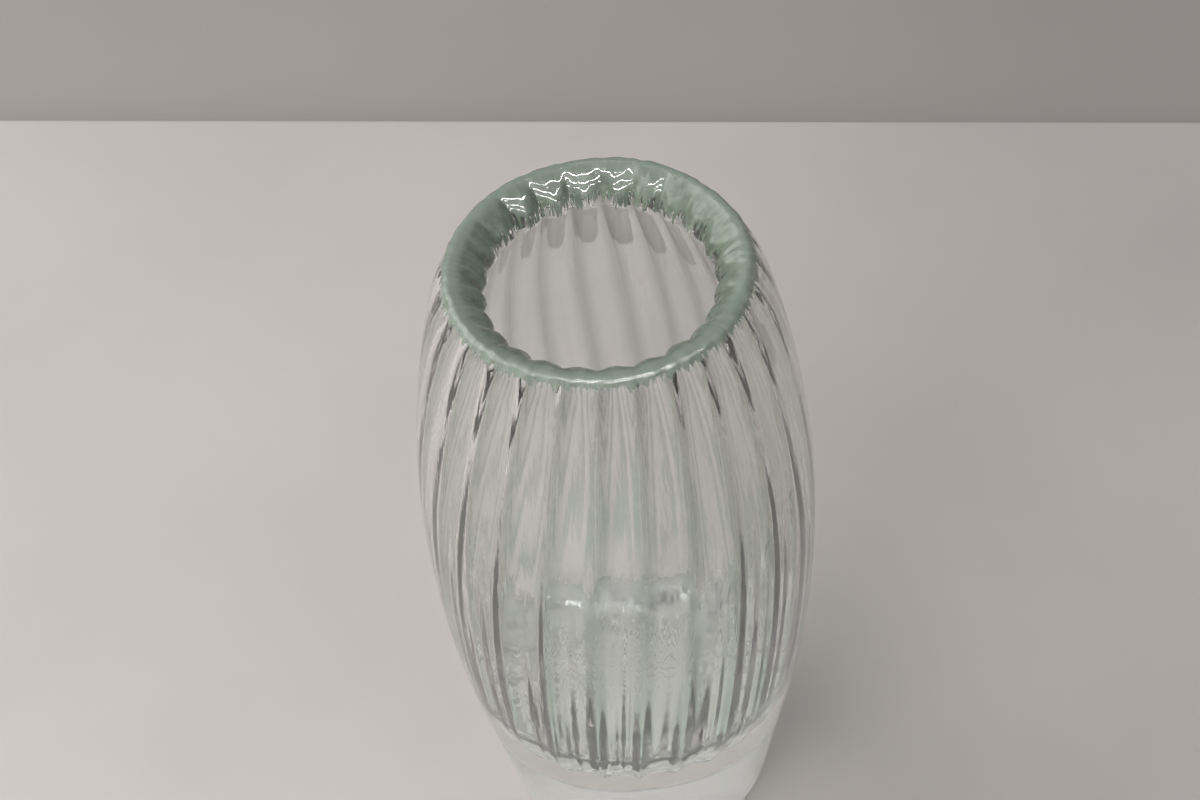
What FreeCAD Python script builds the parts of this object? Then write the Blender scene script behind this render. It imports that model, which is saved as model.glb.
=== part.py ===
"""Optic-ribbed glass vase with a sage lip, in millimetres and degrees.

The vase stands on z = 0 with its axis on Z, and the origin is the centre of its flat underside.
Seen from above, the ribs inside turn counter-clockwise on their way up. Three masses of glass
meet face to face: the solid base, the ribbed wall and the sage lip.
"""
import FreeCAD, Part
import math
import os

from FreeCAD import Vector

# Outside: rings of the outline from the foot up. The base tapers straight to the heel, and above
# it arcs that run into each other join the rings.
foot_radius = 37.4
heel_radius = 45.5
belly_radius = 50.7
neck_radius = 41.2
lip_radius = 36.3
belly_height = 110.0
neck_depth = 13.0
heel_height = 45.0
vase_height = 201.0
foot_rounding = 2.5

# Lip: a rounded outer edge, then a top that slopes inward and rolls over into the mouth
lip_edge_height = 0.85
crest_flat = 0.4
mouth_radius = 27.4
mouth_depth = 8.2
lip_roll_shares = ((0.58, 0.20), (0.24, 0.46), (0.05, 0.76))
sage_outside_depth = 3.6
sage_inside_depth = 10.4

# Wall, measured level, and the hollow with its rounded bottom
belly_wall = 7.0
bowl_wall = 8.0
floor_height = 40.0
floor_radius = 25.0
bowl_height = 18.0
bowl_sweep = 68.0

# Optic ribs inside, each a few strips wide: shallow at the belly, where the glass was blown out
rib_count = 24
strips_per_rib = 3
rib_depth = 0.8
lip_rib_share = 2.4
bowl_rib_share = 1.8
rib_twist = 16.0
rib_bearing = 9.9

# Straight bands that stand in for the tighter curves, and how far a cutting shape overruns
wall_bands = 6
bowl_bands = 2
neck_bands = 2
edge_bands = 2
overrun = 2.0

parts_folder = "parts"

# Places that follow from the sizes
neck_height = vase_height - neck_depth
lip_edge_bottom = vase_height - lip_edge_height
mouth_height = vase_height - mouth_depth
bowl_top = floor_height + bowl_height


def ring_place(radius, height):
    """Return the place where a ring crosses the XZ plane."""
    return Vector(radius, 0, height)


class OutlineArc:
    """An arc of the outline, from one ring up or down to another.

    Its radius is positive where the outline bulges outward and negative where it is hollow.
    """

    def __init__(self, start, lean, end):
        """Leave start at a lean, the angle in from upright, and arrive at end."""
        chord = end - start
        self.start = start
        self.end = end
        chord_lean = math.atan2(-chord.x, abs(chord.z))
        self.end_lean = 2 * chord_lean - lean
        self.radius = chord.Length / (2 * math.sin(chord_lean - lean))
        upward = math.copysign(1, chord.z)
        self.centre = start - ring_place(math.cos(lean), upward * math.sin(lean)) * self.radius

    def radius_at(self, height):
        """Return the outline's radius at a height on this arc."""
        reach = math.sqrt(self.radius ** 2 - (height - self.centre.z) ** 2)
        return self.centre.x + math.copysign(reach, self.radius)

    def edge(self):
        """Return the arc as an edge."""
        middle_height = (self.start.z + self.end.z) / 2
        middle = ring_place(self.radius_at(middle_height), middle_height)
        return Part.Arc(self.start, middle, self.end).toShape()


heel = ring_place(heel_radius, heel_height)
belly = ring_place(belly_radius, belly_height)
neck = ring_place(neck_radius, neck_height)
lip_edge = ring_place(lip_radius, lip_edge_bottom)

lower_arc = OutlineArc(belly, 0, heel)
upper_arc = OutlineArc(belly, 0, neck)
neck_arc = OutlineArc(neck, upper_arc.end_lean, lip_edge)


def outer_radius(height):
    """Return the outside radius at a height."""
    if height > neck_height:
        return neck_arc.radius_at(height)
    if height > belly_height:
        return upper_arc.radius_at(height)
    if height > heel_height:
        return lower_arc.radius_at(height)
    return foot_radius + (heel_radius - foot_radius) * height / heel_height


def inner_radius(height):
    """Return the inside radius of the wall, which thickens away from the belly both ways."""
    if height > belly_height:
        end_wall = outer_radius(mouth_height) - mouth_radius
        share = (height - belly_height) / (mouth_height - belly_height)
    else:
        end_wall = bowl_wall
        share = (belly_height - height) / (belly_height - bowl_top)
    return outer_radius(height) - belly_wall - (end_wall - belly_wall) * share ** 2


def neck_places():
    """Return the outline's turn inward, from the neck up to the lip's rounded edge."""
    places = [neck]
    for band in range(1, neck_bands):
        height = neck_height + (lip_edge_bottom - neck_height) * band / neck_bands
        places.append(ring_place(outer_radius(height), height))
    return places


def lip_edge_places():
    """Return the lip's rounded outer edge, from the end of the outline up to the crest."""
    lean = neck_arc.end_lean
    rounding = lip_edge_height / (1 - math.sin(lean))
    centre = ring_place(lip_radius - rounding * math.cos(lean), vase_height - rounding)
    places = []
    for band in range(edge_bands + 1):
        angle = lean + (math.pi / 2 - lean) * band / edge_bands
        places.append(centre + ring_place(math.cos(angle), math.sin(angle)) * rounding)
    return places


def foot_edge_places():
    """Return the rounded edge of the foot, from the underside up to the base's side."""
    side_radius = outer_radius(foot_rounding)
    places = []
    for band in range(edge_bands + 1):
        angle = math.pi / 2 * band / edge_bands
        radius = side_radius - foot_rounding * (1 - math.sin(angle))
        places.append(ring_place(radius, foot_rounding * (1 - math.cos(angle))))
    return places


def hollow_places():
    """Return the outline of the hollow, from above the lip's crest down to the flat floor."""
    crest_radius = lip_edge_places()[-1].x - crest_flat
    roll_width = crest_radius - mouth_radius
    width_share, depth_share = lip_roll_shares[0]
    crest_slope = mouth_depth * depth_share / (roll_width * (1 - width_share))
    places = [ring_place(crest_radius + overrun, vase_height + overrun * crest_slope)]
    places.append(ring_place(crest_radius, vase_height))
    for width_share, depth_share in lip_roll_shares:
        radius = mouth_radius + roll_width * width_share
        places.append(ring_place(radius, vase_height - mouth_depth * depth_share))
    for band in range(wall_bands):
        height = mouth_height - (mouth_height - bowl_top) * band / wall_bands
        places.append(ring_place(inner_radius(height), height))
    return places + bowl_places()


def bowl_places():
    """Return the hollow's rounded bottom, a part of an ellipse that ends at the flat floor."""
    top_radius = inner_radius(bowl_top)
    sweep = math.radians(bowl_sweep)
    half_width = (top_radius - floor_radius) / (1 - math.cos(sweep))
    half_height = bowl_height / math.sin(sweep)
    places = []
    for band in range(bowl_bands + 1):
        angle = sweep * band / bowl_bands
        radius = top_radius - half_width * (1 - math.cos(angle))
        places.append(ring_place(radius, bowl_top - half_height * math.sin(angle)))
    return places


def rib_share(height):
    """Return how deep the ribs are at a height, as a share of their depth at the belly."""
    if height > mouth_height:
        return lip_rib_share * max(0, vase_height - height) / mouth_depth
    if height > belly_height:
        rise = (height - belly_height) / (mouth_height - belly_height)
        return 1 + (lip_rib_share - 1) * rise ** 3
    fall = (belly_height - max(height, bowl_top)) / (belly_height - bowl_top)
    return 1 + (bowl_rib_share - 1) * fall ** 2


def ribbed_ring(place):
    """Return a level ring through a place, with rounded ribs inward and narrow valleys.

    The ribs get shallower as the ring narrows, as they do towards the middle of the floor.
    """
    narrowing = min(1, place.x / inner_radius(bowl_top))
    depth = rib_depth * rib_share(place.z) * narrowing
    valley_radius = place.x + depth / 2
    pitch = 2 * math.pi / rib_count
    turn = math.radians(rib_bearing + rib_twist * place.z / vase_height)
    corners = []
    for strip in range(rib_count * strips_per_rib):
        angle = turn + pitch * strip / strips_per_rib
        from_valley = strip % strips_per_rib / strips_per_rib
        bulge = 1 - (2 * from_valley - 1) ** 2
        radius = valley_radius - depth * bulge
        corners.append(Vector(radius * math.cos(angle), radius * math.sin(angle), place.z))
    return Part.makePolygon(corners + corners[:1])


def ribbed_hollow():
    """Return the solid that fills the hollow: ribbed rings joined by straight bands."""
    return Part.makeLoft([ribbed_ring(place) for place in hollow_places()], True, True)


def straight_edges(places):
    """Return the straight edges that join places in turn."""
    return [Part.makeLine(start, end) for start, end in zip(places, places[1:])]


def turned_solid(edges):
    """Return the solid that a closed outline in the XZ plane makes round the Z axis."""
    face = Part.Face(Part.Wire(Part.__sortEdges__(edges)))
    return face.revolve(Vector(0, 0, 0), Vector(0, 0, 1), 360)


def outer_solid():
    """Return the vase as if it had no hollow."""
    underside = ring_place(0, 0)
    top = ring_place(0, vase_height)
    outline = straight_edges([underside] + foot_edge_places() + [heel])
    outline += [lower_arc.edge(), upper_arc.edge()]
    outline += straight_edges(neck_places() + lip_edge_places() + [top, underside])
    return turned_solid(outline)


def sage_zone():
    """Return the space above the slanting surface where sage glass meets clear glass."""
    outside_height = vase_height - sage_outside_depth
    inside_height = vase_height - sage_inside_depth
    outside_radius = outer_radius(outside_height)
    slope = (outside_height - inside_height) / (outside_radius - mouth_radius)
    tip = ring_place(0, inside_height - mouth_radius * slope)
    rim = ring_place(belly_radius, tip.z + belly_radius * slope)
    rim_top = ring_place(belly_radius, rim.z + mouth_depth)
    axis_top = ring_place(0, rim_top.z)
    return turned_solid(straight_edges([tip, rim, rim_top, axis_top, tip]))


def base_zone():
    """Return the space below the level of the hollow's floor."""
    return Part.makeCylinder(belly_radius + overrun, floor_height + overrun, Vector(0, 0, -overrun))


def green_lip(hollow_vase):
    """Return the ring of sage glass round the mouth."""
    return hollow_vase.common(sage_zone())


def ribbed_wall(hollow_vase):
    """Return the clear wall with its ribs, from the floor's level up to the sage glass."""
    return hollow_vase.cut(sage_zone()).cut(base_zone())


def solid_base(outside):
    """Return the thick clear glass under the hollow."""
    return outside.common(base_zone())


def main():
    outside = outer_solid()
    hollow_vase = outside.cut(ribbed_hollow())
    glass = {
        "green_lip": green_lip(hollow_vase),
        "ribbed_wall": ribbed_wall(hollow_vase),
        "solid_base": solid_base(outside),
    }
    os.makedirs(parts_folder, exist_ok=True)
    for name, shape in glass.items():
        solid, = shape.Solids
        solid.exportStep(os.path.join(parts_folder, name + ".step"))
        print("%s: %.0f mm3, valid %s" % (name, solid.Volume, solid.isValid()))


main()
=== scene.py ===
"""Dresses the optic-ribbed glass vase: a sage lip, a ribbed clear wall and a heavy clear base.

Lengths are in metres and angles in degrees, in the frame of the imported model: +Z up, with the
origin at the centre of the flat underside. The three masses of glass share one continuous
surface. It is worked out once, as a grid, and cut where the real masses are joined hot.
"""

import logging
import math
from dataclasses import dataclass
from enum import Enum, IntEnum

import bpy
import numpy as np
from mathutils import Matrix, Vector


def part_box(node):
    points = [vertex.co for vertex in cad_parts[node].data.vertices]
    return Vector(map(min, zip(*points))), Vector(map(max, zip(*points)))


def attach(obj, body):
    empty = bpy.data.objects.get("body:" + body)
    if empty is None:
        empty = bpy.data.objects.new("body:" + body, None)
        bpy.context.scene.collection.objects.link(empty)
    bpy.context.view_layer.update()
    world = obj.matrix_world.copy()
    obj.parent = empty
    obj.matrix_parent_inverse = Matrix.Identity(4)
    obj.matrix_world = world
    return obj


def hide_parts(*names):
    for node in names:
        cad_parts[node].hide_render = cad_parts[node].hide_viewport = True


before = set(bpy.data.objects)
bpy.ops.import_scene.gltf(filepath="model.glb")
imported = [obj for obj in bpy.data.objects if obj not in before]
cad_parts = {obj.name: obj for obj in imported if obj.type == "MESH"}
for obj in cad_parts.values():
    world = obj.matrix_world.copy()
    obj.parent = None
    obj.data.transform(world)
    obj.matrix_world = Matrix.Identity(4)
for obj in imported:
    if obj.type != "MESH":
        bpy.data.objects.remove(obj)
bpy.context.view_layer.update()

LOG = logging.getLogger("vase")
MM = 0.001
QUARTER_TURN = math.pi / 2
FULL_TURN = 2 * math.pi
VALLEY_MARK = "rib_valley"

Colour = tuple[float, float, float]
Point = tuple[float, float, float]
Place = tuple[float, float]
Span = tuple[float, float]


class Mass(Enum):
    """The three masses of glass, by the name of the node that each stands for."""

    LIP = "green_lip"
    WALL = "ribbed_wall"
    BASE = "solid_base"


class Dress(IntEnum):
    """What a face of a mass of glass shows, by the place of its material in the mesh."""

    GLASS = 0
    JOINT = 1
    TOP = 2


class Glow(Enum):
    """What a lamp does: light the scene, show as a highlight on glossy surfaces, or both."""

    LIGHT = (True, False)
    HIGHLIGHT = (False, True)
    BOTH = (True, True)


class Signal:
    """A shader socket that takes part in Python sums."""

    def __init__(self, tree: "ShaderTree", socket: bpy.types.NodeSocket) -> None:
        """Wrap a socket of a node in the tree."""
        self.tree = tree
        self.socket = socket

    def _math(self, operation: str, *terms: "Signal | float") -> "Signal":
        """Return the result of a Math node on the terms."""
        inputs = dict(enumerate(terms))
        return self.tree.node("ShaderNodeMath", {"operation": operation}, inputs)["Value"]

    def __add__(self, other: "Signal | float") -> "Signal":
        """Return self + other."""
        return self._math("ADD", self, other)

    __radd__ = __add__

    def __sub__(self, other: "Signal | float") -> "Signal":
        """Return self - other."""
        return self._math("SUBTRACT", self, other)

    def __rsub__(self, other: float) -> "Signal":
        """Return other - self."""
        return self._math("SUBTRACT", other, self)

    def __mul__(self, other: "Signal | float") -> "Signal":
        """Return self * other."""
        return self._math("MULTIPLY", self, other)

    __rmul__ = __mul__

    def __truediv__(self, other: "Signal | float") -> "Signal":
        """Return self / other."""
        return self._math("DIVIDE", self, other)

    def __rtruediv__(self, other: float) -> "Signal":
        """Return other / self."""
        return self._math("DIVIDE", other, self)

    def root(self) -> "Signal":
        """Return the square root of self."""
        return self._math("SQRT", self)

    def rise(self, low: float, high: float) -> "Signal":
        """Return a smooth step from 0 where self is low to 1 where it is high.

        Args:
            low: The value at which the step starts.
            high: The value at which it ends, which may be the smaller one.

        Returns:
            The step.
        """
        settings = {"interpolation_type": "SMOOTHSTEP"}
        if low < high:
            inputs = {"Value": self, "From Min": low, "From Max": high}
            return self.tree.node("ShaderNodeMapRange", settings, inputs)["Result"]
        return 1 - self.rise(high, low)


@dataclass(frozen=True)
class Grain:
    """A noise over a surface, finer where its scale is larger.

    With a climb it is drawn out into upright strands, longer where the climb is small. With a
    span it is sharpened into a step from the span's first value to its second.
    """

    scale: float
    detail: float
    roughness: float = 0.5
    climb: float | None = None
    span: Span | None = None


class ShaderTree:
    """The nodes of one material or of the world."""

    def __init__(self, owner: bpy.types.Material | bpy.types.World) -> None:
        """Start an empty tree.

        Args:
            owner: The material or world that has it.
        """
        owner.use_nodes = True
        self.tree = owner.node_tree
        self.tree.nodes.clear()

    def node(self, kind: str, settings: dict, inputs: dict) -> dict[str, Signal]:
        """Add a node.

        Args:
            kind: The node's type.
            settings: Its properties, which are set first.
            inputs: The value or link of each input socket, by name or number.

        Returns:
            The node's enabled outputs, by name.
        """
        node = self.tree.nodes.new(kind)
        for name, value in settings.items():
            setattr(node, name, value)
        for key, value in inputs.items():
            socket = self._input(node, key)
            if isinstance(value, Signal):
                self.tree.links.new(value.socket, socket)
            elif isinstance(value, tuple) and len(value) == 3 and socket.type == "RGBA":
                socket.default_value = (*value, 1.0)
            else:
                socket.default_value = value
        return {out.name: Signal(self, out) for out in node.outputs if out.enabled}

    @staticmethod
    def _input(node: bpy.types.Node, key: str | int) -> bpy.types.NodeSocket:
        """Find an input socket.

        Args:
            node: The node that has it.
            key: Its number, or its name among the enabled ones.

        Returns:
            The socket.
        """
        if isinstance(key, int):
            return node.inputs[key]
        return next(socket for socket in node.inputs if socket.name == key and socket.enabled)

    def mix(self, share: Signal | float, first: Signal | Colour, second: Signal | Colour) -> Signal:
        """Return a colour between two, which is the first at share 0 and the second at share 1."""
        inputs = {"Factor": share, "A": first, "B": second}
        return self.node("ShaderNodeMix", {"data_type": "RGBA"}, inputs)["Result"]

    def blend(self, share: Signal, first: Signal, second: Signal) -> Signal:
        """Return a shader between two, which is the first at share 0 and the second at share 1."""
        inputs = {"Fac": share, 1: first, 2: second}
        return self.node("ShaderNodeMixShader", {}, inputs)["Shader"]

    def noise(self, place: Signal, grain: Grain) -> Signal:
        """Read a grain's noise.

        Args:
            place: Where it is read.
            grain: The grain.

        Returns:
            The noise, from 0 to 1.
        """
        sizes = {"Scale": grain.scale, "Detail": grain.detail, "Roughness": grain.roughness}
        value = self.node("ShaderNodeTexNoise", {}, {"Vector": place, **sizes})["Fac"]
        return value if grain.span is None else value.rise(*grain.span)

    def bump(self, height: Signal, depth: float, under: Signal | None = None) -> Signal:
        """Return the normal of a surface with relief.

        Args:
            height: The relief, from 0 to 1.
            depth: How deep it is.
            under: The normal of coarser relief that this one lies on.

        Returns:
            The normal.
        """
        inputs = {"Height": height, "Strength": 1.0, "Distance": depth}
        if under is not None:
            inputs["Normal"] = under
        return self.node("ShaderNodeBump", {}, inputs)["Normal"]

    def clear(self, colour: Colour = (1.0, 1.0, 1.0)) -> Signal:
        """Return a shader that lets light straight through, tinted by a colour."""
        return self.node("ShaderNodeBsdfTransparent", {}, {"Color": colour})["BSDF"]

    def coated(self, inputs: dict) -> Signal:
        """Return the general-purpose shader with the values or links of its inputs."""
        return self.node("ShaderNodeBsdfPrincipled", {}, inputs)["BSDF"]

    def finish(self, shader: Signal) -> None:
        """Link a shader to the material's output."""
        self.node("ShaderNodeOutputMaterial", {}, {"Surface": shader})


class Finish:
    """What all finishes share: each has a name and a shader, and makes its material from them."""

    name: str

    def shader(self, tree: ShaderTree) -> Signal:
        """Return the finish's shader, made in a tree."""
        raise NotImplementedError

    def material(self) -> bpy.types.Material:
        """Make the finish.

        Returns:
            The material.
        """
        made = bpy.data.materials.new(self.name)
        tree = ShaderTree(made)
        tree.finish(self.shader(tree))
        return made


@dataclass
class GlassPlaces:
    """Where a point of the vase's surface lies, for its finishes."""

    tree: ShaderTree
    axis_guard: float = 1e-6

    def __post_init__(self) -> None:
        """Read the point's place in the vase's own frame."""
        place = self.tree.node("ShaderNodeTexCoord", {}, {})["Object"]
        parts = self.tree.node("ShaderNodeSeparateXYZ", {}, {"Vector": place})
        self.place = place
        self.height = parts["Z"]
        self.radius = (parts["X"] * parts["X"] + parts["Y"] * parts["Y"]).root()
        self.east = parts["X"] / (self.radius + self.axis_guard)
        self.north = parts["Y"] / (self.radius + self.axis_guard)

    def round_the_axis(self, climb: float) -> Signal:
        """Return a place on a unit cylinder, which rises by the climb for each metre of height."""
        inputs = {"X": self.east, "Y": self.north, "Z": self.height * climb}
        return self.tree.node("ShaderNodeCombineXYZ", {}, inputs)["Vector"]

    def grain(self, grain: Grain) -> Signal:
        """Return a grain's noise at the point, drawn out upright if the grain has a climb."""
        place = self.place if grain.climb is None else self.round_the_axis(grain.climb)
        return self.tree.noise(place, grain)


@dataclass(frozen=True)
class ClearGlassFinish(Finish):
    """Clear blown glass, nearly colourless, with painted grey-green shade in the valleys of the ribs."""

    name: str = "clear_blown_glass"

    # Tints: the valleys are darkened grey-green as painted shade, with another shade low down, and the
    # base has its own tint
    wall_tint: Colour = (1.0, 1.0, 0.995)
    valley_shade_tint: Colour = (0.55, 0.615, 0.55)
    deep_valley_shade_tint: Colour = (0.50, 0.66, 0.59)
    base_tint: Colour = (0.975, 0.985, 0.976)
    deep_valley_span: Span = (105 * MM, 65 * MM)
    wall_span: Span = (38 * MM, 62 * MM)
    ior: float = 1.50

    # Relief of the hand-worked surface, whose strands are calmer low down
    waves: Grain = Grain(55.0, 1.0)
    wave_depth: float = 0.05 * MM
    strands: Grain = Grain(42.0, 2.0, climb=5.0)
    strand_depth: float = 0.026 * MM
    strand_span: Span = (60 * MM, 150 * MM)
    calm_share: float = 0.2

    # Light that thick glass traps and lets out again: a share that passes straight through
    leak: float = 0.06
    lip_leak_share: float = 0.1
    leak_span: Span = (188 * MM, 168 * MM)
    leak_tint: Colour = (0.92, 0.97, 0.95)

    def relief(self, places: GlassPlaces) -> Signal:
        """Work out the hand-worked surface.

        Args:
            places: Where the glass's points lie.

        Returns:
            The normal, with slow waves and fine upright strands.
        """
        upper = places.height.rise(*self.strand_span)
        strength = upper * (1 - self.calm_share) + self.calm_share
        slow = places.tree.bump(places.grain(self.waves), self.wave_depth)
        return places.tree.bump(places.grain(self.strands) * strength, self.strand_depth, slow)

    def colour(self, places: GlassPlaces) -> Signal:
        """Work out the tint, with the painted shade in the valleys.

        Args:
            places: Where the glass's points lie.

        Returns:
            The tint of the wall, of the valleys between its ribs, and of the base.
        """
        tree = places.tree
        # Painted shade: the valleys are darkened grey-green, and teal-green low down
        valley = tree.node("ShaderNodeAttribute", {"attribute_name": VALLEY_MARK}, {})["Fac"]
        low = places.height.rise(*self.deep_valley_span)
        valley_shade = tree.mix(low, self.valley_shade_tint, self.deep_valley_shade_tint)
        wall = tree.mix(valley, self.wall_tint, valley_shade)
        return tree.mix(places.height.rise(*self.wall_span), self.base_tint, wall)

    def glass(self, places: GlassPlaces) -> Signal:
        """Work out the glass.

        Args:
            places: Where the glass's points lie.

        Returns:
            The shader, which lets a little light straight through, and less near the lip.
        """
        tree = places.tree
        inputs = {
            "Base Color": self.colour(places),
            "Roughness": 0.0,
            "IOR": self.ior,
            "Transmission Weight": 1.0,
            "Normal": self.relief(places),
        }
        lip_leak = self.leak * self.lip_leak_share
        share = places.height.rise(*self.leak_span) * (self.leak - lip_leak) + lip_leak
        return tree.blend(share, tree.coated(inputs), tree.clear(self.leak_tint))

    def shader(self, tree: ShaderTree) -> Signal:
        """Return the glass's shader."""
        return self.glass(GlassPlaces(tree))


@dataclass(frozen=True)
class SageGlassFinish(Finish):
    """Sage glass, nearly opaque, that runs out in fine strands into the clear glass under it."""

    lip_height: float
    name: str = "sage_and_clear_glass"
    clear: ClearGlassFinish = ClearGlassFinish()

    # Colours: paler on the crest as a painted highlight, darker on the slope into the mouth as painted
    # shade, clouded there partly by the glass's own unevenness and partly by a painted reflection of the
    # dark room, streaked all over
    crest_highlight_colour: Colour = (0.305, 0.390, 0.310)
    rim_colour: Colour = (0.270, 0.350, 0.276)
    slope_shade_colour: Colour = (0.235, 0.318, 0.222)
    deep_colour: Colour = (0.070, 0.105, 0.078)
    crest_span: Span = (31.5 * MM, 34.0 * MM)
    rim_span: Span = (36.0 * MM, 34.8 * MM)
    clouds: Grain = Grain(260.0, 3.0, 0.6, span=(0.60, 0.38))
    swirl: Grain = Grain(6.0, 3.0, 0.6, climb=60.0, span=(0.48, 0.70))
    streaks: Grain = Grain(30.0, 3.0, 0.6, climb=2.0, span=(0.62, 0.40))
    cloud_share: float = 0.55
    streak_share: float = 0.35
    rim_share: float = 0.6

    # Body: cloudy glass under a smooth, glossy skin
    ior: float = 1.50
    cloudiness: float = 0.45
    clearness: float = 0.35
    skin_roughness: float = 0.02

    # Lower edge: a slanting line with broad tongues and fine strands, longer inside
    edge_depth: float = 4.6 * MM
    edge_radius: float = 28.0 * MM
    edge_slope: float = 0.40
    edge_blur: float = 0.50 * MM
    tongues: Grain = Grain(9.0, 1.0, climb=4.0)
    tongue_length: float = 1.8 * MM
    strands: Grain = Grain(46.0, 2.0, 0.6, climb=4.0, span=(0.36, 0.74))
    inner_strand: float = 4.8 * MM
    outer_strand: float = 2.4 * MM
    strand_span: Span = (31 * MM, 35 * MM)

    def cover(self, places: GlassPlaces) -> Signal:
        """Work out where the sage glass ends.

        Args:
            places: Where the glass's points lie.

        Returns:
            How much of the surface is sage: 1 on the lip, with a feathered lower edge.
        """
        slant = (places.radius - self.edge_radius) * self.edge_slope
        above_edge = places.height - (self.lip_height - self.edge_depth) - slant
        tongues = (places.grain(self.tongues) - 0.5) * self.tongue_length
        outward = places.radius.rise(*self.strand_span)
        strand_length = outward * (self.outer_strand - self.inner_strand) + self.inner_strand
        reach = above_edge + tongues + places.grain(self.strands) * strand_length
        return reach.rise(-self.edge_blur, self.edge_blur)

    def colour(self, places: GlassPlaces) -> Signal:
        """Work out the sage colour, with its painted highlight and shade.

        Args:
            places: Where the glass's points lie.

        Returns:
            The colour: pale on the crest, darker at the rim, cloudy on the inner slope.
        """
        tree = places.tree
        # Painted light: the crest's pale colour is a painted highlight, the slope's darker colour painted
        # shade
        crest = places.radius.rise(*self.crest_span)
        rim = crest * places.radius.rise(*self.rim_span)
        slope = tree.mix(places.grain(self.clouds), self.slope_shade_colour, self.deep_colour)
        pale = tree.mix(places.grain(self.swirl), slope, self.crest_highlight_colour)
        shaded = tree.mix(self.cloud_share, self.slope_shade_colour, pale)
        banded = tree.mix(crest, shaded, self.crest_highlight_colour)
        streak = places.grain(self.streaks) * self.streak_share
        streaked = tree.mix(streak, banded, self.deep_colour)
        return tree.mix(rim * self.rim_share, streaked, self.rim_colour)

    def shader(self, tree: ShaderTree) -> Signal:
        """Lay the sage glass over the clear glass.

        Args:
            tree: The material's nodes.

        Returns:
            The shader.
        """
        places = GlassPlaces(tree)
        inputs = {
            "Base Color": self.colour(places),
            "Roughness": self.cloudiness,
            "IOR": self.ior,
            "Transmission Weight": self.clearness,
            "Coat Weight": 1.0,
            "Coat Roughness": self.skin_roughness,
        }
        return tree.blend(self.cover(places), self.clear.glass(places), tree.coated(inputs))


@dataclass(frozen=True)
class HotJointFinish(Finish):
    """The joint between two masses of glass that were fused hot, where nothing shows."""

    name: str = "hot_joint"

    def shader(self, tree: ShaderTree) -> Signal:
        """Return a shader that lets all light straight through."""
        return tree.clear()


@dataclass(frozen=True)
class PaintedFinish(Finish):
    """Matt paint, a little uneven, with a painted pool of light under glass on it, for the light that the
    glass gathers.
    """

    name: str
    light: Colour
    dark: Colour
    patches: Grain
    # The painted pool of light under the glass: its share, its colour and its radii
    painted_light_share: float = 0.0
    painted_light_colour: Colour = (0.95, 0.95, 0.93)
    painted_light_span: Span = (37.0 * MM, 34.0 * MM)
    roughness: float = 0.65

    def shader(self, tree: ShaderTree) -> Signal:
        """Work out the paint.

        Args:
            tree: The material's nodes.

        Returns:
            The shader.
        """
        place = tree.node("ShaderNodeTexCoord", {}, {})["Object"]
        paint = tree.mix(tree.noise(place, self.patches), self.light, self.dark)
        # A painted pool of light, paler within a radius of the axis, where the glass stands
        radius = tree.node("ShaderNodeVectorMath", {"operation": "LENGTH"}, {0: place})["Value"]
        painted_light = radius.rise(*self.painted_light_span) * self.painted_light_share
        colour = tree.mix(painted_light, paint, self.painted_light_colour)
        return tree.coated({"Base Color": colour, "Roughness": self.roughness})


class OutlineArc:
    """An arc of the outline, given by its ends and by how it leaves the first.

    Its radius is positive where the outline bulges outward and negative where it is hollow.
    """

    def __init__(self, start: Place, lean: float, end: Place) -> None:
        """Join two places.

        Args:
            start: The place that the arc leaves, as a radius and a height.
            lean: How far it leans in from upright there, in radians.
            end: The place where it arrives.
        """
        across = end[0] - start[0]
        along = end[1] - start[1]
        chord_lean = math.atan2(-across, abs(along))
        self.end_lean = 2 * chord_lean - lean
        self.radius = math.hypot(across, along) / (2 * math.sin(chord_lean - lean))
        upward = math.copysign(1, along)
        self.centre_radius = start[0] - math.cos(lean) * self.radius
        self.centre_height = start[1] - upward * math.sin(lean) * self.radius

    def radius_at(self, height: float) -> float:
        """Return the outline's radius at a height on this arc."""
        reach = math.sqrt(self.radius ** 2 - (height - self.centre_height) ** 2)
        return self.centre_radius + math.copysign(reach, self.radius)


@dataclass(frozen=True)
class Row:
    """A level ring of the surface: its place in the outline, its rib depth and the mass after it."""

    radius: float
    height: float
    rib_depth: float
    mass: Mass


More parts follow.
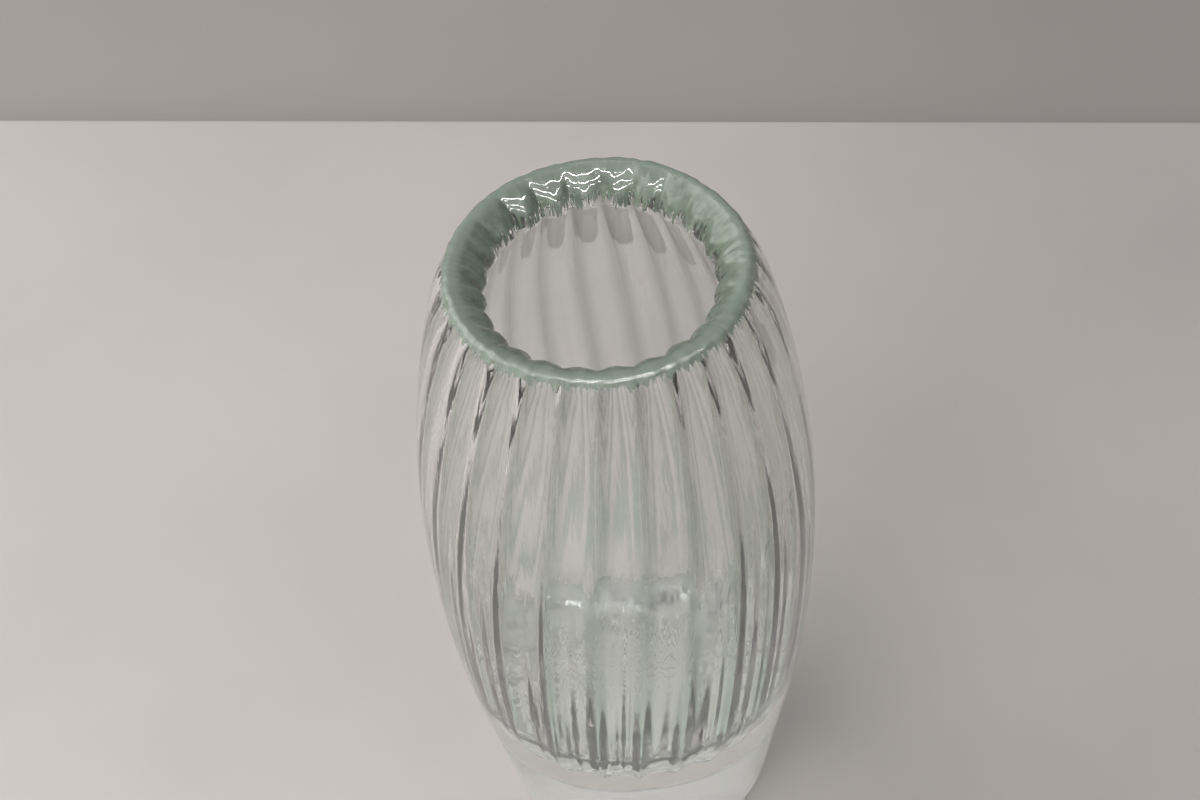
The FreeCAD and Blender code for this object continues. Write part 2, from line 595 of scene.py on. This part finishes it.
@dataclass
class VaseOutline:
    """The outline of the glass, from the centre of the underside round to the hollow's floor."""

    height: float
    floor_height: float
    belly_radius: float

    # Outside, from the foot up to the lip's rounded edge
    foot_radius: float = 37.4 * MM
    foot_rounding: float = 2.5 * MM
    heel_radius: float = 45.5 * MM
    heel_height: float = 45.0 * MM
    belly_height: float = 110.0 * MM
    neck_radius: float = 41.2 * MM
    neck_depth: float = 13.0 * MM
    lip_radius: float = 36.3 * MM
    lip_edge_height: float = 0.85 * MM

    # Crest, mouth and the sage glass's depth. The roll's shares run from the mouth to the crest.
    crest_flat: float = 0.4 * MM
    mouth_radius: float = 27.4 * MM
    mouth_depth: float = 8.2 * MM
    lip_roll_shares: tuple[Place, ...] = ((0.88, 0.0), (0.45, 0.16), (0.10, 0.52), (0.0, 1.0))
    sage_outside_depth: float = 3.6 * MM
    sage_inside_depth: float = 10.4 * MM

    # Wall, and the hollow's rounded bottom
    belly_wall: float = 7.0 * MM
    bowl_wall: float = 8.0 * MM
    bowl_height: float = 22.0 * MM
    bowl_narrowing: float = 2.6 * MM
    bowl_turn_share: float = 0.16
    bowl_corner_radius: float = 26.0 * MM
    floor_radius: float = 10.0 * MM

    # Ribs, from valley to crown: least at the belly
    belly_rib_depth: float = 0.45 * MM
    mouth_rib_depth: float = 1.5 * MM
    mouth_rib_power: float = 5.0
    crest_rib_gain: float = 1.6
    floor_rib_depth: float = 1.9 * MM
    floor_rib_power: float = 1.5
    rib_fade_radius: float = 20.0 * MM

    # How far apart the rows lie
    outside_pitch: float = 4.0 * MM
    inside_pitch: float = 2.2 * MM
    lip_pitch: float = 0.6 * MM
    edge_rows: int = 8
    curve_rows: int = 44
    underside_shares: tuple[float, ...] = (0.25, 0.5, 0.75, 0.9, 0.97)
    floor_shares: tuple[float, ...] = (1.0, 0.8, 0.6, 0.4, 0.2)

    def __post_init__(self) -> None:
        """Join the outline's arcs."""
        self.mouth_height = self.height - self.mouth_depth
        self.bowl_top = self.floor_height + self.bowl_height
        self.neck_height = self.height - self.neck_depth
        belly = (self.belly_radius, self.belly_height)
        neck = (self.neck_radius, self.neck_height)
        lip_edge = (self.lip_radius, self.height - self.lip_edge_height)
        self.lower_arc = OutlineArc(belly, 0.0, (self.heel_radius, self.heel_height))
        self.upper_arc = OutlineArc(belly, 0.0, neck)
        self.neck_arc = OutlineArc(neck, self.upper_arc.end_lean, lip_edge)

    def outer_radius(self, height: float) -> float:
        """Find the outside.

        Args:
            height: A height between the foot and the lip's edge.

        Returns:
            The outside radius there.
        """
        if height > self.neck_height:
            return self.neck_arc.radius_at(height)
        if height > self.belly_height:
            return self.upper_arc.radius_at(height)
        if height > self.heel_height:
            return self.lower_arc.radius_at(height)
        return self.foot_radius + (self.heel_radius - self.foot_radius) * height / self.heel_height

    def inner_radius(self, height: float) -> float:
        """Find the inside of the wall, which thickens away from the belly both ways.

        Args:
            height: A height between the bowl and the mouth.

        Returns:
            The inside radius there, midway between crowns and valleys.
        """
        if height > self.belly_height:
            end_wall = self.outer_radius(self.mouth_height) - self.mouth_radius
            share = (height - self.belly_height) / (self.mouth_height - self.belly_height)
        else:
            end_wall = self.bowl_wall
            share = (self.belly_height - height) / (self.belly_height - self.bowl_top)
        return self.outer_radius(height) - self.belly_wall - (end_wall - self.belly_wall) * share ** 2

    def rib_depth(self, radius: float, height: float) -> float:
        """Find how deep the ribs are: least at the belly, and fading on the crest and floor.

        Args:
            radius: The place's distance from the axis.
            height: Its height.

        Returns:
            The depth, from valley to crown.
        """
        if height > self.mouth_height:
            share = self.crest_rib_gain * max(0.0, self.height - height) / self.mouth_depth
            return self.mouth_rib_depth * min(1.0, share)
        if height > self.belly_height:
            rise = (height - self.belly_height) / (self.mouth_height - self.belly_height)
            gain = self.mouth_rib_depth - self.belly_rib_depth
            return self.belly_rib_depth + gain * rise ** self.mouth_rib_power
        fall = (self.belly_height - height) / (self.belly_height - self.floor_height)
        gain = self.floor_rib_depth - self.belly_rib_depth
        depth = self.belly_rib_depth + gain * fall ** self.floor_rib_power
        return depth * min(1.0, radius / self.rib_fade_radius)

    def ribbed_row(self, radius: float, height: float, mass: Mass) -> Row:
        """Return a row of the inside, with ribs of the depth that they have there."""
        return Row(radius, height, self.rib_depth(radius, height), mass)

    def levels(self, start: float, end: float, pitch: float) -> list[float]:
        """Return heights from start to end, about a pitch apart, without the end."""
        count = max(1, round(abs(end - start) / pitch))
        return list(np.linspace(start, end, count, endpoint=False))

    def curve(self, *controls: Place) -> list[Place]:
        """Follow a Bezier curve.

        Args:
            controls: Its control places.

        Returns:
            Places along it, without its end.
        """
        order = len(controls) - 1
        places = []
        for step in range(self.curve_rows):
            t = step / self.curve_rows
            weights = [math.comb(order, k) * (1 - t) ** (order - k) * t ** k for k in range(order + 1)]
            places.append(tuple(sum(w * c[axis] for w, c in zip(weights, controls)) for axis in (0, 1)))
        return places

    def underside_rows(self) -> list[Row]:
        """Trace the flat underside and the rounded edge of the foot.

        Returns:
            The rows, from the middle out.
        """
        edge_radius = self.outer_radius(self.foot_rounding)
        flat_radius = edge_radius - self.foot_rounding
        rows = [Row(flat_radius * share, 0.0, 0.0, Mass.BASE) for share in self.underside_shares]
        for step in range(self.edge_rows):
            angle = QUARTER_TURN * step / self.edge_rows
            radius = flat_radius + self.foot_rounding * math.sin(angle)
            rows.append(Row(radius, self.foot_rounding * (1 - math.cos(angle)), 0.0, Mass.BASE))
        return rows

    def outside_rows(self) -> list[Row]:
        """Trace the outside, from the foot's edge up to where the lip's edge turns in.

        Returns:
            The rows, from the foot up.
        """
        sage_start = self.height - self.sage_outside_depth
        spans = (
            (self.foot_rounding, self.floor_height, Mass.BASE, self.outside_pitch),
            (self.floor_height, sage_start, Mass.WALL, self.outside_pitch),
            (sage_start, self.height - self.lip_edge_height, Mass.LIP, self.lip_pitch),
        )
        rows = []
        for start, end, mass, pitch in spans:
            rows += [Row(self.outer_radius(z), z, 0.0, mass) for z in self.levels(start, end, pitch)]
        return rows

    def lip_rows(self) -> list[Row]:
        """Trace the lip's edge, its crest and its roll over into the mouth.

        Returns:
            The rows, from the outside in.
        """
        lean = self.neck_arc.end_lean
        rounding = self.lip_edge_height / (1 - math.sin(lean))
        crest_radius = self.lip_radius - rounding * math.cos(lean)
        places = []
        for step in range(self.edge_rows):
            angle = lean + (QUARTER_TURN - lean) * step / self.edge_rows
            height = self.height - rounding * (1 - math.sin(angle))
            places.append((crest_radius + rounding * math.cos(angle), height))
        roll_width = crest_radius - self.crest_flat - self.mouth_radius
        controls = [(crest_radius, self.height)]
        for width_share, depth_share in self.lip_roll_shares:
            radius = self.mouth_radius + roll_width * width_share
            controls.append((radius, self.height - self.mouth_depth * depth_share))
        places += self.curve(*controls)
        return [self.ribbed_row(r, z, Mass.LIP) for r, z in places]

    def inside_rows(self) -> list[Row]:
        """Trace the inside wall, from the mouth down to where the bowl starts.

        Returns:
            The rows, from the mouth down.
        """
        sage_end = self.height - self.sage_inside_depth
        rows = []
        for start, end, mass in (
            (self.mouth_height, sage_end, Mass.LIP),
            (sage_end, self.bowl_top, Mass.WALL),
        ):
            for z in self.levels(start, end, self.inside_pitch):
                rows.append(self.ribbed_row(self.inner_radius(z), z, mass))
        return rows

    def bowl_rows(self) -> list[Row]:
        """Trace the hollow's rounded bottom, and its floor, where the ribs fade out.

        Returns:
            The rows, from the wall in.
        """
        top_radius = self.inner_radius(self.bowl_top)
        turn_height = self.floor_height + self.bowl_turn_share * self.bowl_height
        places = self.curve(
            (top_radius, self.bowl_top),
            (top_radius - self.bowl_narrowing, turn_height),
            (self.bowl_corner_radius, self.floor_height),
            (self.floor_radius, self.floor_height),
        )
        rows = [self.ribbed_row(r, z, Mass.WALL) for r, z in places]
        for share in self.floor_shares:
            rows.append(self.ribbed_row(self.floor_radius * share, self.floor_height, Mass.BASE))
        return rows

    def rows(self) -> list[Row]:
        """Return the whole outline."""
        outside = self.underside_rows() + self.outside_rows()
        return outside + self.lip_rows() + self.inside_rows() + self.bowl_rows()


@dataclass
class BlownSurface:
    """The whole surface of the glass as a grid: rows along the outline, columns round the axis."""

    outline: VaseOutline
    seed: int = 11

    # Optic ribs: how they turn, how uneven they are, and how round their section is
    rib_count: int = 24
    columns_per_rib: int = 28
    rib_twist: float = 16.0
    rib_bearing: float = 9.9
    rib_shift: float = 0.5
    rib_unevenness: float = 0.12
    valley_power: float = 2.5
    belly_crown_share: float = 0.0
    end_crown_share: float = 0.9
    upper_crown_power: float = 3.0
    lower_crown_power: float = 0.6

    # Slow swells of the whole surface, stronger at the lip and fading at the foot and the axis
    wave_counts: tuple[int, ...] = (1, 2, 3, 4, 5, 7)
    wave_climbs: Span = (15, 60)
    swell: float = 0.12 * MM
    lip_swell: float = 0.22 * MM
    foot_calm_height: float = 10 * MM
    axis_calm_radius: float = 24 * MM

    # Fine ripples that the flame leaves on the melted lip
    ripple_waves: int = 8
    ripple_counts: tuple[int, int] = (24, 72)
    ripple_climb: float = 1500.0
    ripple_depth: float = 0.09 * MM

    # Upright flutes low inside
    flute_count: int = 66
    flute_depth: float = 0.50 * MM
    flute_widths: Span = (0.7, 1.3)
    flute_strengths: Span = (0.6, 1.3)
    flute_top: float = 150.0 * MM
    flute_top_spread: float = 12.0 * MM
    flute_run: float = 85.0 * MM
    flute_power: float = 1.5
    flute_calm_radius: float = 16 * MM

    # Marks of the valleys, which narrow on the way up
    low_mark_power: float = 1.2
    high_mark_power: float = 2.2
    mark_span: Span = (60 * MM, 110 * MM)
    flute_mark: float = 0.1

    def __post_init__(self) -> None:
        """Work out the grid's places, its normals and where the valleys are."""
        self.rng = np.random.default_rng(self.seed)
        self.rows = self.outline.rows()
        self.columns = self.rib_count * self.columns_per_rib
        sizes = np.array([(row.radius, row.height, row.rib_depth) for row in self.rows])
        self.radius, self.height, self.depth = sizes.T[..., None]
        self.angle, self.share, self.strength = self._ribs()
        self.places, self.valleys = self._shape()
        self.normals = self._normals()

    def _ribs(self) -> tuple[np.ndarray, np.ndarray, np.ndarray]:
        """Lay the ribs out round the axis.

        Returns:
            The bearing of each grid point and, for each column, how far across its rib it lies
            and how strong that rib is.
        """
        column = np.arange(self.columns)
        rib, share = column // self.columns_per_rib, column % self.columns_per_rib / self.columns_per_rib
        shift = np.radians(self.rng.normal(0, self.rib_shift, self.rib_count))
        strength = 1 + self.rng.normal(0, self.rib_unevenness, self.rib_count)
        shifts = shift[rib] * (1 - share) + shift[(rib + 1) % self.rib_count] * share
        turn = np.radians(self.rib_bearing + self.rib_twist * self.height / self.outline.height)
        return turn + FULL_TURN / self.rib_count * (rib + share) + shifts, share, strength[rib]

    def _bulge(self) -> np.ndarray:
        """Work out the ribs' section, whose crown gets rounder away from the belly.

        Returns:
            How full the section is at each grid point: 0 in the valleys and about 1 on the crowns.
        """
        upper_span = self.outline.mouth_height - self.outline.belly_height
        lower_span = self.outline.belly_height - self.outline.floor_height
        above = self.height - self.outline.belly_height
        away = np.clip(np.where(above > 0, above / upper_span, -above / lower_span), 0, 1)
        growth = np.where(above > 0, away ** self.upper_crown_power, away ** self.lower_crown_power)
        crown = self.belly_crown_share + (self.end_crown_share - self.belly_crown_share) * growth
        flat = 1 - ((1 + np.cos(FULL_TURN * self.share)) / 2) ** self.valley_power
        return (flat * (1 - crown) + np.sin(np.pi * self.share) * crown) * self.strength

    def _waves(self) -> np.ndarray:
        """Add up slow hand-made waves.

        Returns:
            The waves, from about -1 to 1.
        """
        total = np.zeros_like(self.angle)
        for around in self.wave_counts:
            phase, slant = self.rng.uniform(0, FULL_TURN, 2)
            climb = self.rng.uniform(*self.wave_climbs)
            total += np.cos(around * self.angle + phase) * np.cos(climb * self.height + slant)
        return total / math.sqrt(len(self.wave_counts))

    def _ripples(self) -> np.ndarray:
        """Add up fine ripples, such as a flame leaves on a melted edge.

        Returns:
            The ripples, from about -1 to 1.
        """
        total = np.zeros_like(self.angle)
        for _ in range(self.ripple_waves):
            around = self.rng.integers(*self.ripple_counts)
            climb = self.rng.uniform(-self.ripple_climb, self.ripple_climb)
            phase = self.rng.uniform(0, FULL_TURN)
            total += np.cos(around * self.angle + climb * self.height + phase)
        return total / math.sqrt(self.ripple_waves / 2)

    def _unevenness(self) -> np.ndarray:
        """Add up what handwork leaves on both sides of the glass.

        Returns:
            How far each grid point is pushed out.
        """
        near_lip = np.clip((self.height - self.outline.neck_height) / self.outline.neck_depth, 0, 1)
        off_foot = np.clip(self.height / self.foot_calm_height, 0, 1)
        off_axis = np.clip(self.radius / self.axis_calm_radius, 0, 1) ** 2
        swell = self.swell + (self.lip_swell - self.swell) * near_lip
        waves = self._waves() * off_foot * off_axis * swell
        return waves + self._ripples() * self.ripple_depth * near_lip ** 2

    def _flutes(self) -> np.ndarray:
        """Cut the upright flutes low inside, which start in points at uneven heights.

        Returns:
            How far each grid point is pushed out.
        """
        bearing = FULL_TURN * np.arange(self.columns) / self.columns
        widths = self.rng.uniform(*self.flute_widths, self.flute_count)
        edges = np.concatenate([[0.0], np.cumsum(widths) / widths.sum()]) * FULL_TURN
        flute = np.clip(np.searchsorted(edges, bearing, side="right") - 1, 0, self.flute_count - 1)
        share = (bearing - edges[flute]) / (edges[flute + 1] - edges[flute])
        tops = self.flute_top + self.rng.normal(0, self.flute_top_spread, self.flute_count)
        depths = self.flute_depth * self.rng.uniform(*self.flute_strengths, self.flute_count)
        strength = np.clip((tops[flute] - self.height) / self.flute_run, 0, 1) ** self.flute_power
        off_axis = np.clip(self.radius / self.flute_calm_radius, 0, 1)
        return depths[flute] * strength * np.sin(np.pi * share) ** 2 * off_axis

    def _marks(self, flutes: np.ndarray) -> np.ndarray:
        """Mark the valleys, for the painted shade in the glass's tint.

        Args:
            flutes: How deep the flutes are.

        Returns:
            How much of a valley each grid point is, from 0 to 1.
        """
        low, high = self.mark_span
        up_share = np.clip((self.height - low) / (high - low), 0, 1)
        power = self.low_mark_power + (self.high_mark_power - self.low_mark_power) * up_share
        marks = ((1 + np.cos(FULL_TURN * self.share)) / 2) ** power
        return np.clip(marks + self.flute_mark * flutes / self.flute_depth, 0, 1)

    def _shape(self) -> tuple[np.ndarray, np.ndarray]:
        """Give the turned outline its ribs, flutes and unevenness.

        Returns:
            The places, as rows of columns of x, y and z, and the valley marks.
        """
        uneven = self._unevenness()
        flutes = self._flutes()
        inside = (self.depth > 0).astype(float)
        relief = self.depth * (0.5 - self._bulge()) + flutes * inside
        outward, upward = np.gradient(self.radius, axis=0), np.gradient(self.height, axis=0)
        length = np.hypot(outward, upward)
        radius = self.radius + uneven - relief * upward / length
        height = self.height + relief * outward / length
        places = (radius * np.cos(self.angle), radius * np.sin(self.angle), height)
        return np.stack(places, axis=-1), self._marks(flutes) * inside

    def _normals(self) -> np.ndarray:
        """Work out which way the glass faces.

        Returns:
            The outward normal at each grid point.
        """
        along = np.gradient(self.places, axis=0)
        around = np.roll(self.places, -1, axis=1) - np.roll(self.places, 1, axis=1)
        normals = np.cross(around, along)
        return normals / np.linalg.norm(normals, axis=-1, keepdims=True)

    def runs(self, mass: Mass) -> list[tuple[int, int]]:
        """Find where a mass of glass has the surface.

        Args:
            mass: The mass.

        Returns:
            The first and last row of each run of its rows.
        """
        runs = []
        for index, row in enumerate(self.rows[:-1]):
            if row.mass is mass and runs and runs[-1][1] == index:
                runs[-1] = (runs[-1][0], index + 1)
            elif row.mass is mass:
                runs.append((index, index + 1))
        return runs


def add_object(name: str, data: bpy.types.ID) -> bpy.types.Object:
    """Put an object into the scene.

    Args:
        name: Its name.
        data: Its mesh, lamp or camera.

    Returns:
        The object.
    """
    added = bpy.data.objects.new(name, data)
    bpy.context.scene.collection.objects.link(added)
    return added


@dataclass
class GlassMass:
    """One mass of the vase's glass, as a closed piece cut from the blown surface."""

    surface: BlownSurface
    mass: Mass
    name: str
    slot: str
    top_stretch: float = 16 * MM

    def build(
        self,
        finish: bpy.types.Material,
        joint: bpy.types.Material,
        top_finish: bpy.types.Material | None = None,
    ) -> bpy.types.Object:
        """Build and dress the piece.

        Args:
            finish: The material of the glass.
            joint: The material of the faces where it meets another mass.
            top_finish: The material of the stretch just under the lip, if it differs.

        Returns:
            The piece, in place of its node.
        """
        places, normals, valleys, faces, joints = self._mesh_parts()
        mesh = bpy.data.meshes.new(self.name)
        mesh.from_pydata(places.tolist(), [], faces + joints)
        mesh.materials.append(finish)
        mesh.materials.append(joint)
        dress = np.array([Dress.GLASS] * len(faces) + [Dress.JOINT] * len(joints))
        if top_finish is not None:
            mesh.materials.append(top_finish)
            lowest = np.array([places[list(face), 2].min() for face in faces + joints])
            is_top = lowest > self.surface.outline.height - self.top_stretch
            dress[is_top & (dress == Dress.GLASS)] = Dress.TOP
        mesh.polygons.foreach_set("material_index", dress.tolist())
        mesh.shade_smooth()
        mesh.normals_split_custom_set_from_vertices(normals.tolist())
        mark = mesh.attributes.new(VALLEY_MARK, "FLOAT", "POINT")
        mark.data.foreach_set("value", valleys.tolist())
        piece = add_object(self.name, mesh)
        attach(piece, "root")
        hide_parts(self.mass.value)
        return piece

    def _mesh_parts(self) -> tuple[np.ndarray, np.ndarray, np.ndarray, list, list]:
        """Cut the piece from the surface.

        Returns:
            Its places, normals, valley marks, outside faces and joint faces.
        """
        runs = self.surface.runs(self.mass)
        starts = {}
        for first, last in runs:
            for row in range(first, last + 1):
                starts[row] = len(starts) * self.surface.columns
        kept = list(starts)
        places = self.surface.places[kept].reshape(-1, 3)
        normals = self.surface.normals[kept].reshape(-1, 3)
        valleys = self.surface.valleys[kept].reshape(-1)
        faces = []
        for first, last in runs:
            for row in range(first, last):
                faces += self._band(starts[row], starts[row + 1])
        last_row = len(self.surface.rows) - 1
        for row, normal in ((0, (0.0, 0.0, -1.0)), (last_row, (0.0, 0.0, 1.0))):
            if row in starts:
                centre = np.array([[0.0, 0.0, self.surface.rows[row].height]])
                places = np.vstack([places, centre])
                normals = np.vstack([normals, [normal]])
                valleys = np.append(valleys, 0.0)
                faces += self._fan(starts[row], len(places) - 1, row == last_row)
        open_rows = [row for run in runs for row in run if row not in (0, last_row)]
        half = len(open_rows) // 2
        joints = []
        for outer, inner in zip(open_rows[:half], reversed(open_rows[half:])):
            joints += self._band(starts[inner], starts[outer])
        return places, normals, valleys, faces, joints

    def _band(self, low: int, high: int) -> list[tuple[int, int, int, int]]:
        """Join two rows.

        Args:
            low: The number of the first row's first point.
            high: The number of the second row's first point.

        Returns:
            The faces between them.
        """
        columns = self.surface.columns
        steps = ((j, (j + 1) % columns) for j in range(columns))
        return [(low + j, low + k, high + k, high + j) for j, k in steps]

    def _fan(self, row: int, centre: int, is_floor: bool) -> list[tuple[int, int, int]]:
        """Close the surface at the axis.

        Args:
            row: The number of the last row's first point.
            centre: The number of the point on the axis.
            is_floor: Whether the faces are the hollow's floor, and not the underside.

        Returns:
            The faces between the row and the point.
        """
        columns = self.surface.columns
        steps = [(row + j, row + (j + 1) % columns) for j in range(columns)]
        if is_floor:
            return [(a, b, centre) for a, b in steps]
        return [(b, a, centre) for a, b in steps]


@dataclass
class TableTop:
    """The pale table, which ends a little behind the vase, and the grey ledge beyond its edge, painted
    darker to stand in for a wall in shade.
    """

    edge_places: tuple[Place, Place] = ((-219.1 * MM, 298.3 * MM), (220.3 * MM, 238.2 * MM))
    clearance: float = 0.15 * MM
    reach: float = 4.0
    rounding: float = 2 * MM
    rounding_bands: int = 5
    front_height: float = 24 * MM
    ledge_drop: float = 12 * MM
    # The table's paint carries a painted pool of light under the vase
    table_finish: PaintedFinish = PaintedFinish(
        name="pale_table",
        light=(0.60, 0.565, 0.545),
        dark=(0.57, 0.537, 0.52),
        patches=Grain(9.0, 3.0, span=(0.35, 0.65)),
        painted_light_share=0.85,
    )
    # The ledge's darker grey is painted shade, standing in for a wall in shade beyond the table
    ledge_finish: PaintedFinish = PaintedFinish(
        name="grey_ledge",
        light=(0.41, 0.38, 0.365),
        dark=(0.395, 0.365, 0.35),
        patches=Grain(6.0, 3.0, span=(0.35, 0.65)),
    )

    def build(self) -> list[bpy.types.Object]:
        """Build the table and the ledge.

        Returns:
            The two stage objects.
        """
        start, end = (Vector((*place, -self.clearance)) for place in self.edge_places)
        along = (end - start).normalized()
        inward = Vector((along.y, -along.x, 0.0))
        middle = (start + end) / 2
        section = [inward * self.reach]
        for band in range(self.rounding_bands + 1):
            angle = QUARTER_TURN * band / self.rounding_bands
            back = self.rounding * (1 - math.sin(angle))
            section.append(inward * back + Vector((0, 0, self.rounding * (math.cos(angle) - 1))))
        section.append(Vector((0, 0, -self.front_height)))
        table = self._sheet("table_top", middle, along, section, self.table_finish)
        drop = Vector((0, 0, -self.ledge_drop))
        ledge = self._sheet("ledge", middle, along, [drop, drop - inward * self.reach], self.ledge_finish)
        return [table, ledge]

    def _sheet(
        self, name: str, middle: Vector, along: Vector, section: list[Vector], finish: PaintedFinish
    ) -> bpy.types.Object:
        """Draw a section out along the table's edge.

        Args:
            name: The sheet's name.
            middle: The middle of the table's edge.
            along: Which way the edge runs.
            section: The section's places, from the middle of the edge.
            finish: The sheet's finish.

        Returns:
            The sheet, as a part of the stage.
        """
        places = []
        for offset in section:
            places += [middle + offset - along * self.reach, middle + offset + along * self.reach]
        faces = [(2 * k, 2 * k + 1, 2 * k + 3, 2 * k + 2) for k in range(len(section) - 1)]
        mesh = bpy.data.meshes.new(name)
        mesh.from_pydata(places, [], faces)
        mesh.materials.append(finish.material())
        sheet = add_object(name, mesh)
        return sheet


@dataclass(frozen=True)
class Lamp:
    """A soft rectangular lamp that faces the vase, such as a window, a fill or a tube."""

    name: str
    place: Point
    width: float
    depth: float
    watts: float
    glow: Glow = Glow.BOTH
    colour: Colour = (1.0, 0.985, 0.965)
    aim: Point = (0.0, 0.0, 0.12)

    def build(self) -> bpy.types.Object:
        """Build the lamp, which doesn't show through the glass.

        Returns:
            The lamp.
        """
        light = bpy.data.lights.new(self.name, "AREA")
        light.shape = "RECTANGLE"
        light.size = self.width
        light.size_y = self.depth
        light.energy = self.watts
        light.color = self.colour
        lamp = add_object(self.name, light)
        place = Vector(self.place)
        facing = (Vector(self.aim) - place).to_track_quat("-Z", "Y")
        lamp.matrix_world = Matrix.Translation(place) @ facing.to_matrix().to_4x4()
        lamp.visible_diffuse, lamp.visible_glossy = self.glow.value
        lamp.visible_transmission = False
        return lamp


@dataclass
class Studio:
    """The plain room round the table: its walls' glow and its soft lamps."""

    zenith: Colour = (0.34, 0.34, 0.34)
    horizon: Colour = (0.34, 0.335, 0.33)
    floor: Colour = (0.30, 0.30, 0.30)
    pale_wall: Colour = (0.585, 0.57, 0.555)
    horizon_span: Span = (-0.15, 0.02)
    zenith_span: Span = (0.1, 0.9)
    light_bounces: int = 64
    lamps: tuple[Lamp, ...] = (
        Lamp("left_window", (-0.72, 0.24, 0.74), 1.0, 1.0, 5.8),
        Lamp("front_fill", (-0.55, -0.62, 0.50), 0.6, 0.6, 4.4, Glow.LIGHT),
        Lamp("ceiling_tube", (0.10, -0.45, 1.50), 2.20, 0.035, 20.0, Glow.HIGHLIGHT),
        Lamp("middle_tube", (0.15, -0.85, 1.15), 1.4, 0.030, 10.0, Glow.HIGHLIGHT),
        Lamp("front_tube", (0.15, -1.05, 0.90), 1.4, 0.030, 7.5, Glow.HIGHLIGHT),
        Lamp("left_bulb", (-0.30, -0.30, 1.50), 0.07, 0.07, 0.4),
        Lamp("right_bulb", (0.40, -0.60, 1.40), 0.07, 0.07, 0.4),
    )

    def build(self) -> None:
        """Light the scene. Through glass, the room looks as pale as its far walls."""
        world = bpy.data.worlds.new("room")
        bpy.context.scene.world = world
        tree = ShaderTree(world)
        direction = tree.node("ShaderNodeTexCoord", {}, {})["Generated"]
        upward = tree.node("ShaderNodeSeparateXYZ", {}, {"Vector": direction})["Z"]
        lower = tree.mix(upward.rise(*self.horizon_span), self.floor, self.horizon)
        open_air = tree.mix(upward.rise(*self.zenith_span), lower, self.zenith)
        through_glass = tree.node("ShaderNodeLightPath", {}, {})["Is Transmission Ray"]
        colour = tree.mix(through_glass, open_air, self.pale_wall)
        glow = tree.node("ShaderNodeBackground", {}, {"Color": colour, "Strength": 1.0})
        tree.node("ShaderNodeOutputWorld", {}, {"Surface": glow["Background"]})
        for lamp in self.lamps:
            lamp.build()
        scene = bpy.context.scene
        scene.view_settings.view_transform = "Standard"
        scene.cycles.max_bounces = self.light_bounces
        scene.cycles.transmission_bounces = self.light_bounces
        scene.cycles.transparent_max_bounces = self.light_bounces


@dataclass
class PhotoCamera:
    """The camera at the photograph's place and angle."""

    place: Point = (0.0, -386.45 * MM, 601.36 * MM)
    pitch: float = 49.248
    yaw: float = -0.3633
    roll: float = -5.4741
    lens: float = 72.0

    def build(self) -> bpy.types.Object:
        """Build the camera and make it the scene's.

        Returns:
            The camera.
        """
        pitch, yaw, roll = (math.radians(angle) for angle in (self.pitch, self.yaw, self.roll))
        level_reach = math.cos(pitch)
        ahead = Vector((math.sin(yaw) * level_reach, math.cos(yaw) * level_reach, -math.sin(pitch)))
        level = Vector((math.cos(yaw), -math.sin(yaw), 0.0))
        upward = level.cross(ahead)
        right = math.cos(roll) * level + math.sin(roll) * upward
        top = -math.sin(roll) * level + math.cos(roll) * upward
        lens = bpy.data.cameras.new("photo_camera")
        lens.lens = self.lens
        camera = add_object("photo_camera", lens)
        turned = Matrix((right, top, -ahead)).transposed().to_4x4()
        camera.matrix_world = Matrix.Translation(Vector(self.place)) @ turned
        bpy.context.scene.camera = camera
        return camera


def vase_outline() -> VaseOutline:
    """Read the outline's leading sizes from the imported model.

    Returns:
        The outline.
    """
    lip_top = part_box(Mass.LIP.value)[1]
    wall_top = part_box(Mass.WALL.value)[1]
    base_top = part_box(Mass.BASE.value)[1]
    return VaseOutline(lip_top.z, base_top.z, wall_top.x)


def main() -> None:
    """Build the vase and its studio, and report each piece."""
    logging.basicConfig(level=logging.INFO, format="%(name)s: %(message)s")
    outline = vase_outline()
    surface = BlownSurface(outline)
    clear = ClearGlassFinish().material()
    sage = SageGlassFinish(outline.height).material()
    joint = HotJointFinish().material()
    masses = (
        (GlassMass(surface, Mass.LIP, "sage_lip", "sage_glass"), sage, None),
        (GlassMass(surface, Mass.WALL, "optic_wall", "clear_glass"), clear, sage),
        (GlassMass(surface, Mass.BASE, "heavy_base", "clear_glass"), clear, None),
    )
    for mass, finish, top_finish in masses:
        piece = mass.build(finish, joint, top_finish)
        LOG.info("%s: %d faces", piece.name, len(piece.data.polygons))
    for sheet in TableTop().build():
        LOG.info("%s: stage", sheet.name)
    Studio().build()
    LOG.info("camera: %s", PhotoCamera().build().name)


if __name__ == "__main__":
    main()
